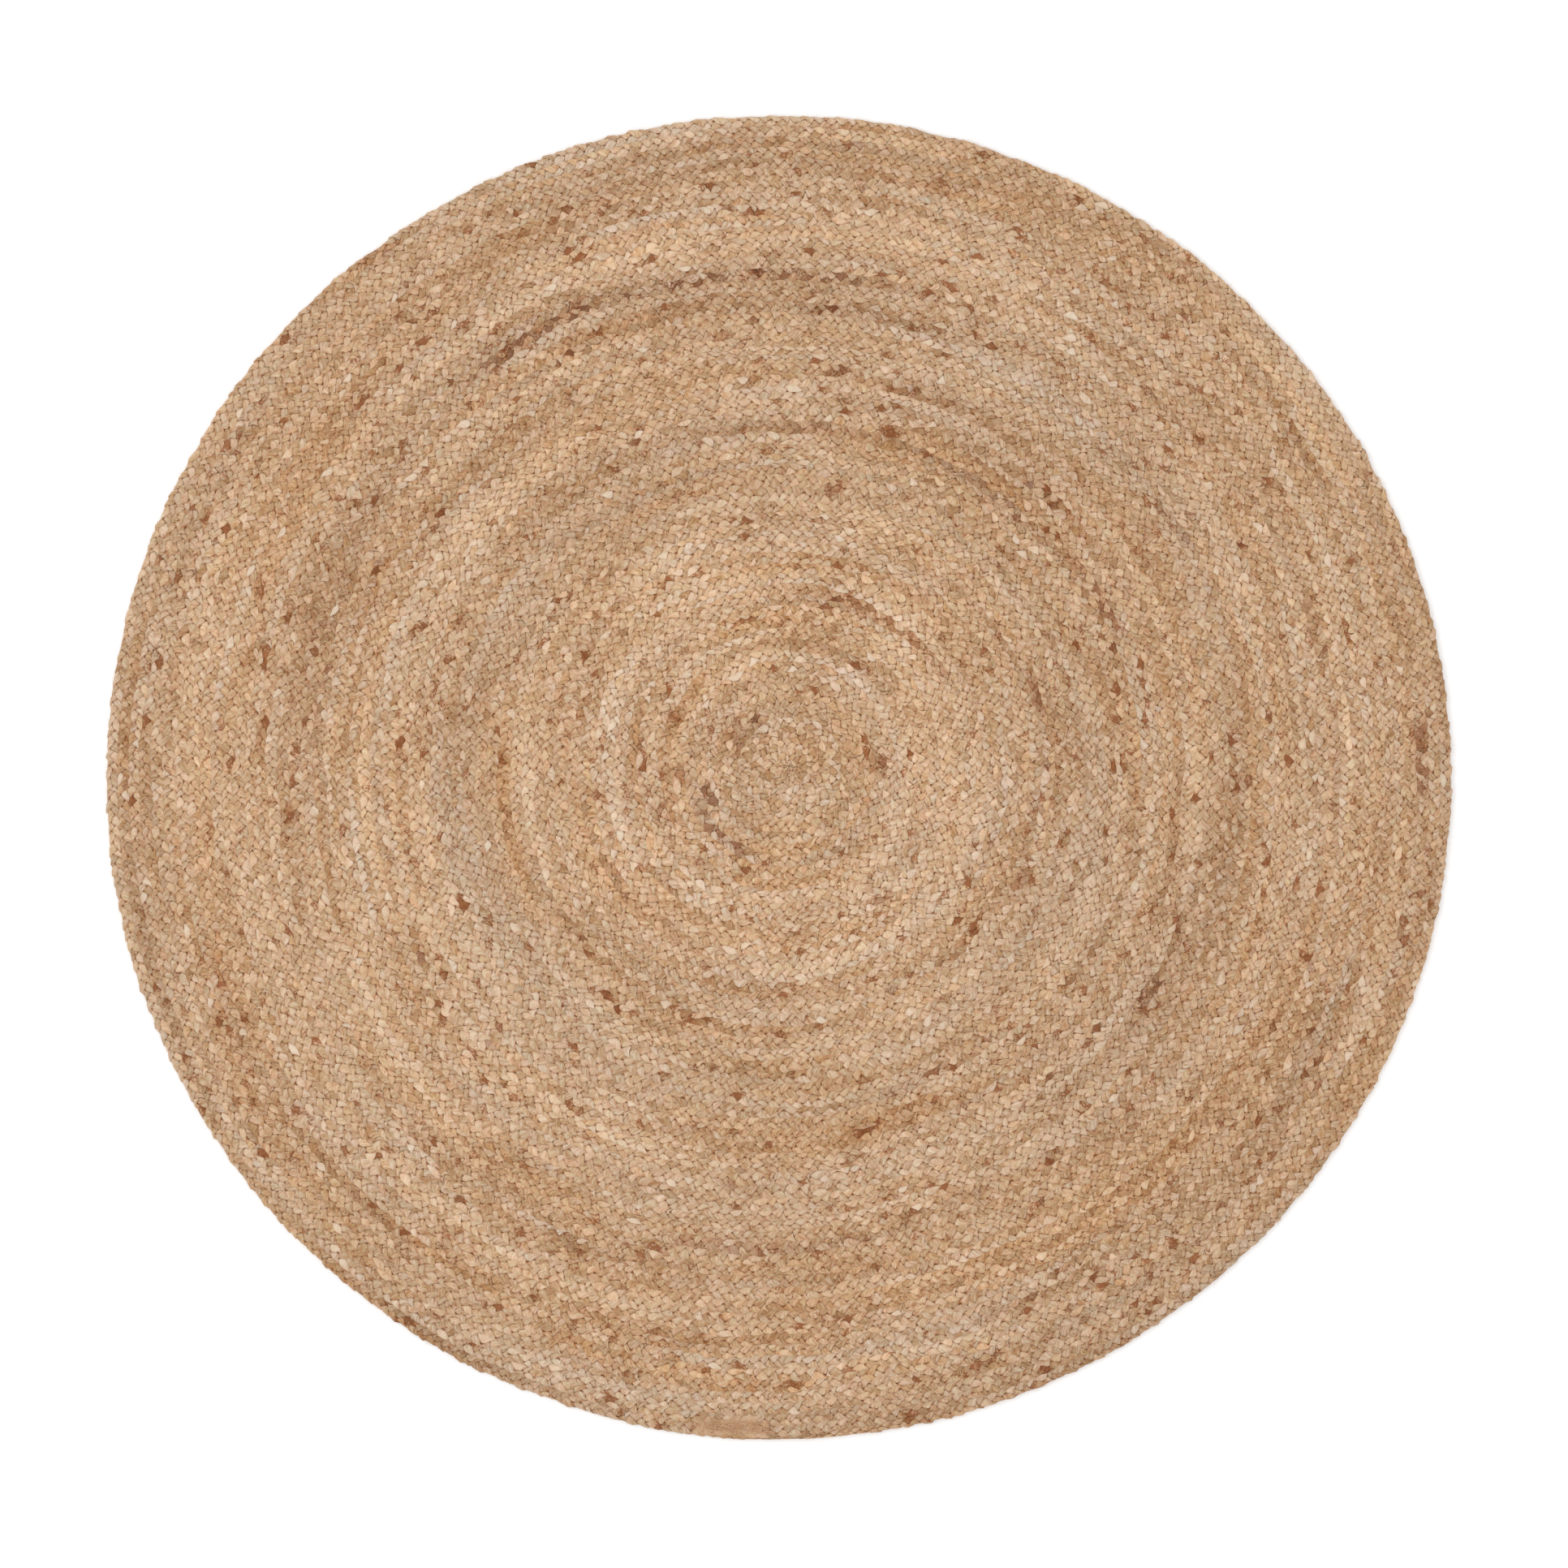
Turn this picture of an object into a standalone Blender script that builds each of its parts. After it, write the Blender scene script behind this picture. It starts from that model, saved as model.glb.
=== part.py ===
"""A round jute rug: one flat three-strand braid, wound into a coil and sewn edge to edge.

Metres, +Z up. The rug lies flat, with the origin on its underside at the middle of its outline.
It is one closed body. The underside is flat, the rim is rounded, and the top face rises to a crest
along the middle of each turn of the braid and dips to the seam between two turns.

A place along the braid is given in turns. At turn 0 the braid's middle is at the coil's centre, and
at TURNS it ends at the rim. Seen from above, the coil runs outwards clockwise.
"""

import math

import bmesh
import bpy

LENGTH_X = 1.512  # the outline is a little wider than it is deep
LENGTH_Y = 1.488
BRAID_WIDTH = 0.0126
CREST_HEIGHT = 0.0080  # the middle of the braid
SEAM_HEIGHT = 0.0050  # the seam between two turns
RIM_HEIGHT = 0.0038  # the widest line of the outermost turn
FOOT_INSET = 0.0022  # the underside's edge lies inside the rim's widest line

TURNS = (LENGTH_X + LENGTH_Y) / 4 / BRAID_WIDTH
COIL_CENTRE = (0.0114, 0.0138)  # the coil starts a little off the outline's middle
END_DIRECTION = math.radians(262.5)  # where the braid's end is sewn down, anticlockwise from +X
TAPER_TURNS = 0.07  # the last stretch, which thins out against the turn inside it
BUTTON = {"turn": 0.75, "distance": 0.35}  # the top of the small dome that the coil starts around

# The turns swell and shrink a little from place to place. Each row is one gentle wave in them.
# around: waves in one turn; across: waves from the centre to the rim; shift: how far it moves a turn
UNEVENNESS = (
    {"around": 2, "across": 3, "shift": 0.0014, "phase": 0.4},
    {"around": 3, "across": 7, "shift": 0.0010, "phase": 2.1},
    {"around": 5, "across": 12, "shift": 0.0007, "phase": 4.0},
)

TURN_SAG = 0.0012  # how far a straight step along the braid may leave its curve
RIM_SAG = 0.0004
SMOOTH_ANGLE = math.radians(35)

JUTE_COLOUR = (0.532, 0.341, 0.207, 1.0)
JUTE_ROUGHNESS = 0.9


def smooth_step(value):
    """0 below 0, 1 above 1, and a smooth rise between."""
    value = min(max(value, 0.0), 1.0)
    return value * value * (3 - 2 * value)


def taper(turn):
    """0 along the braid, rising to 1 where it has thinned out at its end."""
    return smooth_step((turn - TURNS + TAPER_TURNS) / TAPER_TURNS)


def seam_distance(turn):
    """The braid's outer edge, in braid widths from the coil's centre."""
    return turn + 0.5 - taper(turn)


def crest_distance(turn):
    """The braid's middle, in braid widths from the coil's centre."""
    return (seam_distance(turn - 1) + seam_distance(turn)) / 2


def rim_distance(turn):
    """The rug's rim in the direction of this turn, in braid widths from the coil's centre."""
    return seam_distance(TURNS - (TURNS - turn) % 1)


def place(turn, distance):
    """The x and y of a point in the direction of a turn, at a distance given in braid widths."""
    direction = END_DIRECTION + math.tau * (TURNS - turn)
    share = distance / rim_distance(turn)
    fade = math.sin(math.pi * min(share, 1.0))
    shift = 0.0
    for wave in UNEVENNESS:
        swing = wave["around"] * direction + math.tau * wave["across"] * share + wave["phase"]
        shift += fade * wave["shift"] * math.sin(swing)
    x = COIL_CENTRE[0] * (1 - share) + (LENGTH_X / 2 * share + shift) * math.cos(direction)
    y = COIL_CENTRE[1] * (1 - share) + (LENGTH_Y / 2 * share + shift) * math.sin(direction)
    return x, y


def seam_height(turn):
    """The seam is low between two turns, and drops to the rim's widest line along the last one."""
    outermost = smooth_step((turn - TURNS + 1 + TAPER_TURNS) / TAPER_TURNS)
    return SEAM_HEIGHT + (RIM_HEIGHT - SEAM_HEIGHT) * outermost


def crest_height(turn):
    """The crest keeps its height until the braid thins out."""
    return CREST_HEIGHT + (RIM_HEIGHT - CREST_HEIGHT) * taper(turn)


def steps(first, last, sag):
    """Turns from first to last, so close that a straight step stays within sag of the curve."""
    turns = [first]
    while True:
        radius = max(turns[-1], 1.0) * BRAID_WIDTH
        step = math.sqrt(8 * radius * sag) / (math.tau * radius)
        if turns[-1] + 1.5 * step > last:
            return turns + [last]
        turns.append(turns[-1] + step)


def bridge(bm, inner, outer):
    """Joins two lines of (turn, vertex) with triangles that face up. The lines may end in one vertex."""
    i, o = 0, 0
    while i < len(inner) - 1 or o < len(outer) - 1:
        step_inner = o == len(outer) - 1 or (i < len(inner) - 1 and inner[i + 1][0] < outer[o + 1][0])
        if step_inner:
            corners = (inner[i][1], inner[i + 1][1], outer[o][1])
            i += 1
        else:
            corners = (inner[i][1], outer[o + 1][1], outer[o][1])
            o += 1
        if len(set(corners)) == 3:
            bm.faces.new(corners)


def coil_top(bm):
    """Builds the ribbed top face, and returns the vertices of the rim in order."""

    def seam_vertex(turn):
        return bm.verts.new((*place(turn, seam_distance(turn)), seam_height(turn)))

    def crest_vertex(turn):
        return bm.verts.new((*place(turn, crest_distance(turn)), crest_height(turn)))

    rim_start = TURNS - 1
    inside = [(turn, seam_vertex(turn)) for turn in steps(0.0, rim_start, TURN_SAG)]
    rim = [(turn, seam_vertex(turn)) for turn in steps(rim_start, TURNS, RIM_SAG)[1:-1]]
    end = inside[-1][1]
    seam = inside + rim + [(TURNS, end)]
    crest = [(turn, crest_vertex(turn)) for turn in steps(1.0, TURNS, TURN_SAG)[:-1]] + [(TURNS, end)]

    bridge(bm, [(turn + 1, vertex) for turn, vertex in inside], crest)
    first_outer = min(range(len(seam)), key=lambda n: abs(seam[n][0] - 1.0))
    bridge(bm, crest, seam[first_outer:])

    button = bm.verts.new((*place(BUTTON["turn"], BUTTON["distance"]), CREST_HEIGHT))
    start = [vertex for _, vertex in seam[: first_outer + 1]] + [crest[0][1]]
    for near, far in zip(start, start[1:] + start[:1]):
        bm.faces.new((button, far, near))
    return [end] + [vertex for _, vertex in rim]


def close_below(bm, rim):
    """Draws the rim in to the flat underside, and closes it."""
    edges = [bm.edges.get(pair) for pair in zip(rim, rim[1:] + rim[:1])]
    drawn = bmesh.ops.extrude_edge_only(bm, edges=edges)["geom"]
    foot = [part for part in drawn if isinstance(part, bmesh.types.BMVert)]
    for vertex in foot:
        vertex.co *= 1 - FOOT_INSET / math.hypot(vertex.co.x, vertex.co.y)
        vertex.co.z = 0.0
    foot_edges = [part for part in drawn if isinstance(part, bmesh.types.BMEdge)]
    bmesh.ops.contextual_create(bm, geom=[edge for edge in foot_edges if edge.is_boundary])
    bmesh.ops.recalc_face_normals(bm, faces=bm.faces)


def jute_material():
    """Plain natural jute."""
    material = bpy.data.materials.new("jute")
    material.use_nodes = True
    shader = material.node_tree.nodes["Principled BSDF"]
    shader.inputs["Base Color"].default_value = JUTE_COLOUR
    shader.inputs["Roughness"].default_value = JUTE_ROUGHNESS
    shader.inputs["Metallic"].default_value = 0.0
    material.diffuse_color = JUTE_COLOUR
    return material


def build_rug():
    """The whole rug as one closed body."""
    bm = bmesh.new()
    close_below(bm, coil_top(bm))
    mesh = bpy.data.meshes.new("rug")
    bm.to_mesh(mesh)
    bm.free()
    mesh.shade_smooth()
    mesh.set_sharp_from_angle(angle=SMOOTH_ANGLE)
    mesh.materials.append(jute_material())
    rug = bpy.data.objects.new("rug", mesh)
    bpy.context.scene.collection.objects.link(rug)


for old in list(bpy.data.objects):
    bpy.data.objects.remove(old, do_unlink=True)
build_rug()
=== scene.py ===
"""The looks of a round jute rug: one long three-strand braid, wound flat and sewn edge to edge.

Metres, +Z up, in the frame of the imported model. A place along the braid is given in turns of the
coil. At turn 0 the braid's outer edge is half a braid width from the coil's centre, and at TURNS
the braid ends at the rim. Seen from above, the coil runs outwards clockwise.
"""

import math

import bmesh
import bpy
from mathutils import Matrix, Vector


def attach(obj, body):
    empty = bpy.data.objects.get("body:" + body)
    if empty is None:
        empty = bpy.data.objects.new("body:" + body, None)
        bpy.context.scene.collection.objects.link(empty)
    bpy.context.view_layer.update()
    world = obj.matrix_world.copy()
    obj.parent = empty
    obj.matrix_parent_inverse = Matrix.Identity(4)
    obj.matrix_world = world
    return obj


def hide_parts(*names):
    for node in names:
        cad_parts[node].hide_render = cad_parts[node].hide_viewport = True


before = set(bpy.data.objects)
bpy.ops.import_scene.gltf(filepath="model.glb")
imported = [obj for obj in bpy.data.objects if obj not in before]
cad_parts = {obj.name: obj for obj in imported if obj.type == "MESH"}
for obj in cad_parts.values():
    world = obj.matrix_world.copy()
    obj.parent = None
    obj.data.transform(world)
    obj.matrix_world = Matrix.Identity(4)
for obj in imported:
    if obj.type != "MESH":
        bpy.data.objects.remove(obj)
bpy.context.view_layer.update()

bl_info = {
    "name": "Round Jute Rug",
    "version": (1, 0, 0),
    "blender": (4, 5, 0),
    "location": "View3D > Sidebar > Jute Rug",
    "description": "Braids, coils and sews a round jute rug",
    "category": "Object",
}

# The coil, with the same sizes as the solid that it replaces.
LENGTH_X = 1.512
LENGTH_Y = 1.488
BRAID_WIDTH = 0.0126
CREST_HEIGHT = 0.0080
TURNS = (LENGTH_X + LENGTH_Y) / 4 / BRAID_WIDTH
COIL_CENTRE = (0.0114, 0.0138)
END_DIRECTION = math.radians(262.5)  # where the braid's end is sewn down, anticlockwise from +X
TAPER_TURNS = 0.07  # the last stretch, which thins out against the turn inside it
CORE_TURNS = 0.2  # the braid's first tip, which fills the coil's centre

# The turns swell and shrink a little from place to place. Each row is one gentle wave in them.
UNEVENNESS = (
    {"around": 2, "across": 3, "shift": 0.0014, "phase": 0.4},
    {"around": 3, "across": 7, "shift": 0.0010, "phase": 2.1},
    {"around": 5, "across": 12, "shift": 0.0007, "phase": 4.0},
)

# The turns also wander a little together. scale: waves to a metre; shift: how far it moves them.
WIDE_WANDER = {"scale": 16.0, "shift": 0.0040}
CLOSE_WANDER = {"scale": 60.0, "shift": 0.0020}
RIM_TIGHTNESS = 0.75  # the share of that wander which the rim lacks, because it is drawn tight

# The braid's end is matted. The first value of each pair is where the matting starts, and the second
# where it is full. The first two are in turns before the end, the third in rows from the rim.
MATTED_TURNS = (0.0172, 0.0150)
MATTED_TIP = (-0.0008, 0.0008)
MATTED_ROWS = (1.35, 0.95)
MATTED_SLANT = 60  # how many more rows are matted for each turn before the end
MATTED_FLATNESS = 0.8

# How a hand-made braid departs from an even one, in waves along it. at: where in the noise it is read;
# waves: how many to a lobe; swing: the most that it changes.
BRAID_WAVES = {
    "crease": {"at": 0, "waves": 0.83, "swing": 0.42},
    "lean": {"at": 300, "waves": 0.71, "swing": 0.40},
    "zigzag": {"at": 700, "waves": 0.57, "swing": 0.8},
    "middle": {"at": 1300, "waves": 0.41, "swing": 0.08},
}
# Across a lobe, in braid widths.
CREASE_REACH = 0.495  # from the braid's middle to the edge in the creases
LOBE_BULGE = 0.15  # how far the edge bulges out between them
LOOSENESS = 0.12  # how much that bulge differs from lobe to lobe, which is twice as much at the rim
RIM_INSET = 0.12  # how far the rim's edge is drawn in
NARROWEST = 0.08  # the braid's width at its tips

RIM_FADE = 12  # the lobes over which the rim takes its shape
LOBE_WIDTH = 0.0065  # a lobe's size on top, in metres, which sets how fine its fibres look
LOBE_LENGTH = 0.0105
WELD_DISTANCE = 0.00001
CREASE_ANGLE = math.radians(52)  # edges bent more than this are sharp

# One lobe of the braid, which is where a strand comes over the edge and dives under at the middle.
# Each row is a line across it, from its head on top, over its tail at the edge, to the underside.
# out: share of the way to the edge; back: how far it leans back; base: height in the crease;
# crown: height of its back above the crease; pit: how far it drops where creases meet; grain: place
# along the strand; strip: place in the unwrapped strip.
LOBE_ROWS = (
    {"out": 0.00, "back": 0.00, "base": 0.86, "crown": 0.00, "pit": 0.15, "grain": 0.00, "strip": 0.00},
    {"out": 0.13, "back": -0.02, "base": 0.83, "crown": 0.11, "pit": 0.00, "grain": 0.12, "strip": 0.08},
    {"out": 0.48, "back": 0.10, "base": 0.78, "crown": 0.18, "pit": 0.00, "grain": 0.40, "strip": 0.25},
    {"out": 0.84, "back": 0.56, "base": 0.74, "crown": 0.18, "pit": 0.00, "grain": 0.72, "strip": 0.45},
    {"out": 1.00, "back": 1.00, "base": 0.64, "crown": 0.00, "pit": 0.08, "grain": 1.00, "strip": 0.57},
    {"out": 0.62, "back": 1.50, "base": 0.13, "crown": -0.13, "pit": 0.00, "grain": 0.50, "strip": 0.72},
    {"out": 0.00, "back": 2.00, "base": 0.14, "crown": 0.00, "pit": 0.00, "grain": 0.00, "strip": 1.00},
)
# The points across each of those rows. The first row's also fit the heads of the other side's lobes.
HEAD_POINTS = (0.0, 0.25, 0.5, 0.75, 1.0)
TOP_POINTS = (0.0, 0.14, 0.5, 0.86, 1.0)
SIDE_POINTS = (0.0, 0.5, 1.0)
ROW_POINTS = (HEAD_POINTS, TOP_POINTS, TOP_POINTS, TOP_POINTS, SIDE_POINTS, SIDE_POINTS, SIDE_POINTS)
LOBE_MEASURES = tuple(LOBE_ROWS[0])

# The longest streaks. share: how far out, as a share of the way to the rim; start: the direction in
# degrees, anticlockwise from +X, where it starts; sweep: degrees clockwise; depth: how strong it is.
STREAKS = (
    {"share": 0.747, "start": 133, "sweep": 60, "tone": "umber", "depth": 0.85},
    {"share": 0.690, "start": 138, "sweep": 72, "tone": "umber", "depth": 0.35},
    {"share": 0.272, "start": 84, "sweep": 60, "tone": "bark", "depth": 0.70},
    {"share": 0.139, "start": 252, "sweep": 54, "tone": "bark", "depth": 0.75},
    {"share": 0.083, "start": 176, "sweep": 58, "tone": "bark", "depth": 0.60},
    {"share": 0.392, "start": 372, "sweep": 46, "tone": "bark", "depth": 0.60},
    {"share": 0.520, "start": 110, "sweep": 84, "tone": "umber", "depth": 0.45},
    {"share": 0.700, "start": 292, "sweep": 48, "tone": "bark", "depth": 0.45},
    {"share": 0.240, "start": 312, "sweep": 22, "tone": "bark", "depth": 0.60},
    {"share": 0.905, "start": 318, "sweep": 74, "tone": "golden", "depth": 0.70},
    {"share": 0.885, "start": 286, "sweep": 46, "tone": "golden", "depth": 0.60},
    {"share": 0.262, "start": 212, "sweep": 60, "tone": "cream", "depth": 0.60},
    {"share": 0.792, "start": 24, "sweep": 40, "tone": "cream", "depth": 0.50},
    {"share": 0.620, "start": 340, "sweep": 90, "tone": "cream", "depth": 0.30},
    {"share": 0.585, "start": 290, "sweep": 150, "tone": "cream", "depth": 0.30},
    {"share": 0.642, "start": 333, "sweep": 11, "tone": "umber", "depth": 0.80},
    {"share": 0.135, "start": 214, "sweep": 24, "tone": "umber", "depth": 0.80},
    {"share": 0.528, "start": 40, "sweep": 20, "tone": "bark", "depth": 0.70},
    {"share": 0.387, "start": 24, "sweep": 12, "tone": "bark", "depth": 0.70},
    {"share": 0.194, "start": 208, "sweep": 14, "tone": "bark", "depth": 0.75},
    {"share": 0.159, "start": 192, "sweep": 18, "tone": "bark", "depth": 0.65},
    {"share": 0.078, "start": 138, "sweep": 20, "tone": "umber", "depth": 0.80},
    {"share": 0.950, "start": 366, "sweep": 9, "tone": "bark", "depth": 0.75},
)

# Thin strands on the braid, one piece for each row. They start inset from the outer edge of a turn,
# and head along the braid at 0 radians and outwards at 1.57. Lengths are in metres, insets in widths.
# What a row leaves out is 0. Strands with Evenly at 1 follow one another at even steps.
STRAND_INPUTS = (
    "Evenly", "First Turn", "Last Turn", "Inset", "Inset Spread", "Shortest", "Longest",
    "Heading", "Heading Spread", "Curl", "Height", "Rise", "Fall", "Thickness",
)
STRAND_LOTS = {
    "stray_fibres": {
        "Count": 1100, "First Turn": 1.0, "Last Turn": 58.8, "Inset": 0.50, "Inset Spread": 1.00,
        "Shortest": 0.006, "Longest": 0.026, "Heading Spread": 1.0, "Curl": 0.7,
        "Height": 0.0074, "Rise": 0.0018, "Fall": 0.0004, "Thickness": 0.00015,
    },
    "rim_fibres": {
        "Count": 320, "First Turn": 58.55, "Last Turn": 59.45, "Inset": 0.14, "Inset Spread": 0.16,
        "Shortest": 0.003, "Longest": 0.014, "Heading": 1.2, "Heading Spread": 1.4, "Curl": 0.9,
        "Height": 0.0050, "Rise": 0.0012, "Fall": 0.0030, "Thickness": 0.00013,
    },
    "sewing": {
        "Count": 1500, "Evenly": 1, "First Turn": 1.0, "Last Turn": 58.4, "Inset": 0.20,
        "Inset Spread": 0.06, "Shortest": 0.005, "Longest": 0.007, "Heading": 1.2,
        "Heading Spread": 0.3, "Curl": 0.2, "Height": 0.0062, "Rise": 0.0006, "Fall": 0.0002,
        "Thickness": 0.0006,
    },
    "matted_end": {
        "Count": 110, "First Turn": 59.503, "Last Turn": 59.520, "Inset": 1.00, "Inset Spread": 1.10,
        "Shortest": 0.008, "Longest": 0.020, "Heading": -0.1, "Heading Spread": 0.30, "Curl": 0.5,
        "Height": 0.0074, "Rise": 0.0005, "Thickness": 0.0006,
    },
    "end_stitches": {
        "Count": 18, "Evenly": 1, "First Turn": 59.503, "Last Turn": 59.520, "Inset": 1.25,
        "Inset Spread": 0.30, "Shortest": 0.007, "Longest": 0.010, "Heading": 1.3,
        "Heading Spread": 0.5, "Curl": 0.2, "Height": 0.0080, "Rise": 0.0004, "Thickness": 0.0007,
    },
}
STRAND_STEPS = (0.08, 0.36, 0.64, 0.92)
STRAND_COLUMNS = 40
SEED_STEP = 10000  # keeps the numbers of one lot's strands apart from the next lot's

# Broad bands, each a little lighter or darker. share and width: shares of the way to the rim.
BANDS = (
    {"share": 0.26, "width": 0.13, "lighter": 0.06},
    {"share": 0.48, "width": 0.09, "lighter": -0.06},
    {"share": 0.69, "width": 0.09, "lighter": -0.04},
    {"share": 0.96, "width": 0.09, "lighter": -0.04},
    # Painted shade on the rim's outermost row.
    {"share": 1.00, "width": 0.035, "lighter": -0.05},
)

BRAID_LENGTHS = 14  # the braid is made up of this many lengths, one piece each
STRIP_LOBES = 40  # lobes side by side in one unwrapped strip
CORE_LOBES = 3.0  # extra lobes a turn, which are smaller near the coil's centre

# The stage. The key light is on one side: around and up in degrees, away and width in metres.
FLOOR_RADIUS = 14.0
FLOOR_DROP = 0.0004  # keeps the floor just clear of the underside
KEY_LIGHT = {"around": 175, "up": 52, "away": 4.2, "width": 2.6}
LENS = 85.0


def colour(red, green, blue):
    """A colour given as seen on a screen, from 0 to 255, as light."""
    shares = (part / 255 for part in (red, green, blue))
    return tuple(share / 12.92 if share <= 0.04045 else ((share + 0.055) / 1.055) ** 2.4 for share in shares)


# ---- sums inside node trees


def math_method(operation, swapped=False):
    """A method of Number that adds one math node to the tree."""

    def method(self, *values):
        values = (self, *values)
        return sum_node(self.tree, operation, *(values[::-1] if swapped else values))

    return method


class Number:
    """A number in a node tree. Sums with it add nodes to the tree."""

    __add__ = math_method("ADD")
    __radd__ = math_method("ADD", swapped=True)
    __sub__ = math_method("SUBTRACT")
    __rsub__ = math_method("SUBTRACT", swapped=True)
    __mul__ = math_method("MULTIPLY")
    __truediv__ = math_method("DIVIDE")
    __mod__ = math_method("FLOORED_MODULO")
    __pow__ = math_method("POWER")
    sin = math_method("SINE")
    cos = math_method("COSINE")
    sqrt = math_method("SQRT")
    floor = math_method("FLOOR")
    ceil = math_method("CEIL")
    fract = math_method("FRACT")
    size = math_method("ABSOLUTE")
    at_least = math_method("MAXIMUM")
    at_most = math_method("MINIMUM")
    under = math_method("LESS_THAN")
    over = math_method("GREATER_THAN")

    def __init__(self, tree, socket):
        self.tree = tree
        self.socket = socket

    def rise(self, low, high):
        """0 below low, 1 above high, and a smooth rise between. With low above high it falls."""
        return self.steps("SMOOTHSTEP", low, high)

    def ramp(self, low, high):
        """0 below low, 1 above high, and a straight rise between."""
        return self.steps("LINEAR", low, high)

    def steps(self, kind, low, high):
        node = self.tree.nodes.new("ShaderNodeMapRange")
        node.interpolation_type = kind
        feed(self.tree, node.inputs["Value"], self)
        feed(self.tree, node.inputs["From Min"], low)
        feed(self.tree, node.inputs["From Max"], high)
        return Number(self.tree, node.outputs["Result"])


def feed(tree, socket, value):
    """Sets an input, or links it to what feeds it."""
    if isinstance(value, Number):
        tree.links.new(value.socket, socket)
    elif isinstance(value, bpy.types.NodeSocket):
        tree.links.new(value, socket)
    else:
        socket.default_value = value


def feed_named(tree, node, values):
    """Feeds a node's inputs by name. Python names have underscores where the inputs have spaces."""
    for name, value in values.items():
        feed(tree, node.inputs[name.replace("_", " ").title()], value)


def sum_node(tree, operation, *values):
    node = tree.nodes.new("ShaderNodeMath")
    node.operation = operation
    for socket, value in zip(node.inputs, values):
        feed(tree, socket, value)
    return Number(tree, node.outputs[0])


def vector(x, y, z=0.0):
    node = x.tree.nodes.new("ShaderNodeCombineXYZ")
    for socket, value in zip(node.inputs, (x, y, z)):
        feed(x.tree, socket, value)
    return node.outputs[0]


def parts(tree, socket):
    """The three numbers of a vector."""
    node = tree.nodes.new("ShaderNodeSeparateXYZ")
    feed(tree, node.inputs[0], socket)
    return [Number(tree, out) for out in node.outputs]


def noise_node(tree, dimensions, place, scale, detail, roughness):
    node = tree.nodes.new("ShaderNodeTexNoise")
    node.noise_dimensions = dimensions
    feed(tree, node.inputs["W" if dimensions == "1D" else "Vector"], place)
    feed(tree, node.inputs["Scale"], scale)
    feed(tree, node.inputs["Detail"], detail)
    feed(tree, node.inputs["Roughness"], roughness)
    return node, (Number(tree, node.outputs["Fac"]) - 0.5) * 2


def noise(place, scale=1.0, detail=0.0, roughness=0.5):
    """Soft noise round 0 along a line. Adding a number to the place picks other noise."""
    return noise_node(place.tree, "1D", place, scale, detail, roughness)[1]


def surface_noise(tree, place, scale, detail=0.0, roughness=0.5, dimensions="3D"):
    """Soft noise round 0 over a surface, as a number and as a vector."""
    node, value = noise_node(tree, dimensions, place, scale, detail, roughness)
    return value, [(part - 0.5) * 2 for part in parts(tree, node.outputs["Color"])]


def add_sockets(tree, way, kind, *names):
    for name in names:
        tree.interface.new_socket(name, in_out=way, socket_type="NodeSocket" + kind)


def group_node(tree, group, **values):
    """A node group in its place, with its inputs fed by name."""
    node = tree.nodes.new(tree.bl_idname.replace("Tree", "Group"))
    node.node_tree = group
    feed_named(tree, node, values)
    return node


# ---- the coil


def taper(turn):
    """0 along the braid, rising to 1 where it has thinned out at its end."""
    return ((turn - (TURNS - TAPER_TURNS)) / TAPER_TURNS).rise(0.0, 1.0)


def edge_distance(turn):
    """The braid's outer edge, in braid widths from the coil's centre."""
    return turn.at_least(0.0) + turn.ramp(-CORE_TURNS, 0.0) * 0.5 - taper(turn)


def coil_group():
    """A node group that puts a turn and a distance from the coil's centre in their place on the rug."""
    tree = bpy.data.node_groups.new("coil", "GeometryNodeTree")
    add_sockets(tree, "INPUT", "Float", "Turn", "Distance", "Height")
    add_sockets(tree, "OUTPUT", "Vector", "Position")
    add_sockets(tree, "OUTPUT", "Float", "Rows From Rim", "Before End")
    given = tree.nodes.new("NodeGroupInput")
    turn = Number(tree, given.outputs["Turn"])
    distance = Number(tree, given.outputs["Distance"])

    before_end = (TURNS - turn.at_most(TURNS)).fract()
    direction = before_end * math.tau + END_DIRECTION
    rim = edge_distance(TURNS - before_end)
    share = distance / rim
    inwards = 1.0 - share
    fade = (share.at_most(1.0) * math.pi).sin()
    shift = 0.0
    for wave in UNEVENNESS:
        swing = direction * wave["around"] + share * (math.tau * wave["across"]) + wave["phase"]
        shift = fade * swing.sin() * wave["shift"] + shift
    x = inwards * COIL_CENTRE[0] + (share * (LENGTH_X / 2) + shift) * direction.cos()
    y = inwards * COIL_CENTRE[1] + (share * (LENGTH_Y / 2) + shift) * direction.sin()

    place = vector(x, y)
    tight = 1.0 - share.rise(0.9, 1.0) * RIM_TIGHTNESS
    wide = surface_noise(tree, place, WIDE_WANDER["scale"], dimensions="2D")[1]
    close = surface_noise(tree, place, CLOSE_WANDER["scale"], dimensions="2D")[1]
    x = x + (wide[0] * WIDE_WANDER["shift"] + close[0] * CLOSE_WANDER["shift"]) * tight
    y = y + (wide[1] * WIDE_WANDER["shift"] + close[1] * CLOSE_WANDER["shift"]) * tight

    result = tree.nodes.new("NodeGroupOutput")
    feed(tree, result.inputs["Position"], vector(x, y, given.outputs["Height"]))
    feed(tree, result.inputs["Rows From Rim"], rim - distance)
    feed(tree, result.inputs["Before End"], before_end)
    return tree


def turn_at(place):
    """The turn at a place along the braid, given in braid widths from its first tip."""
    inside = (place.at_least(0.0) * (4 * math.pi) + CORE_LOBES**2).sqrt()
    return (inside - CORE_LOBES) / math.tau - CORE_TURNS + place.at_most(0.0) / CORE_LOBES


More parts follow.
